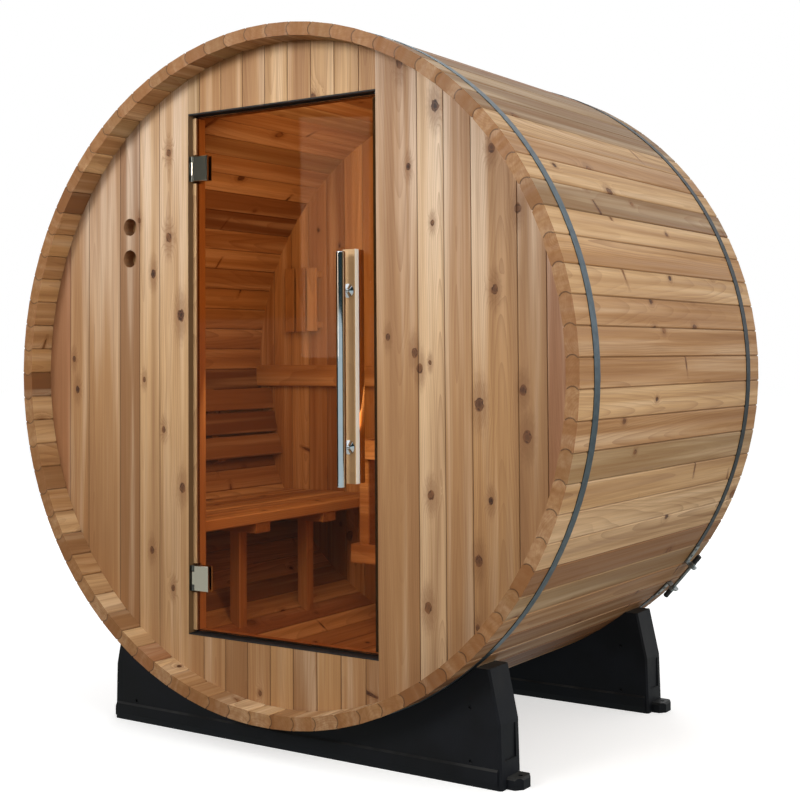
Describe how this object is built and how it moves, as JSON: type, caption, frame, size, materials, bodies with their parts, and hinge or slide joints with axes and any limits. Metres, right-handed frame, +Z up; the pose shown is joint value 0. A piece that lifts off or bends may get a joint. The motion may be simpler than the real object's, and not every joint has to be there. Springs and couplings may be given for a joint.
{
  "type": "barrel sauna cabin",
  "caption": "Two-person barrel sauna cabin: round-stave barrel in two moulded cradles, board end walls, frameless hinged glass door, steel bands and benches along both sides.",
  "frame": {"origin": "on the ground, at the middle of the footprint, under the barrel's axis", "axes": "+Z up; -Y is the front with the door; +X is to the right seen from the front"},
  "size_m": [1.8338, 1.168, 1.9169],
  "materials": {
    "stave_cedar": "smooth planed, unfinished",
    "wall_cedar": "smooth planed, unfinished",
    "bench_cedar": "smooth planed, unfinished",
    "pale_wood": "smooth planed",
    "glass_bronze": "clear bronze tint",
    "rubber_black": "matte",
    "steel_satin": "satin",
    "steel_zinc": "dull zinc",
    "band_steel": "dark, dull",
    "chrome": "polished",
    "polymer_black": "fine grained"
  },
  "bodies": {
    "cabin": {"cradle_front": "polymer_black", "cradle_rear": "polymer_black", "staves_floor": "stave_cedar", "staves_right_low": "stave_cedar", "staves_right": "stave_cedar", "staves_right_high": "stave_cedar", "staves_roof": "stave_cedar", "staves_left_high": "stave_cedar", "staves_left": "stave_cedar", "staves_left_low": "stave_cedar", "front_wall_left": "wall_cedar", "front_wall_right": "wall_cedar", "front_wall_over_door": "wall_cedar", "front_wall_under_door": "wall_cedar", "rear_wall_left": "wall_cedar", "rear_wall_middle": "wall_cedar", "rear_wall_right": "wall_cedar", "door_stop": "bench_cedar", "door_seals": "rubber_black", "hinge_leaves": "steel_satin", "hinge_pins": "steel_zinc", "band_front": "band_steel", "band_rear": "band_steel", "tensioner_front": "steel_zinc", "tensioner_rear": "steel_zinc", "tensioner_caps": "polymer_black", "bench_left_boards": "bench_cedar", "bench_left_bearers": "bench_cedar", "bench_left_legs": "bench_cedar", "bench_right_boards": "bench_cedar", "bench_right_bearers": "bench_cedar", "bench_right_legs": "bench_cedar", "back_rest_left": "bench_cedar", "back_rest_right": "bench_cedar", "back_rest_battens": "bench_cedar", "vent_cover": "bench_cedar", "rear_brace": "bench_cedar", "lamp_cover": "bench_cedar", "guard_rail": "bench_cedar"},
    "door": {"door_glass": "glass_bronze", "hinge_clamps": "steel_satin", "handle_backing": "pale_wood", "handle_bar": "chrome", "handle_posts": "chrome", "inside_pull": "pale_wood"}
  },
  "joints": [
    {"name": "door_hinge", "type": "hinge", "parent": "cabin", "child": "door", "pos_m": [-0.3215, -0.498, 1], "axis": [0, 0, -1], "range_deg": [0, 90]}
  ]
}
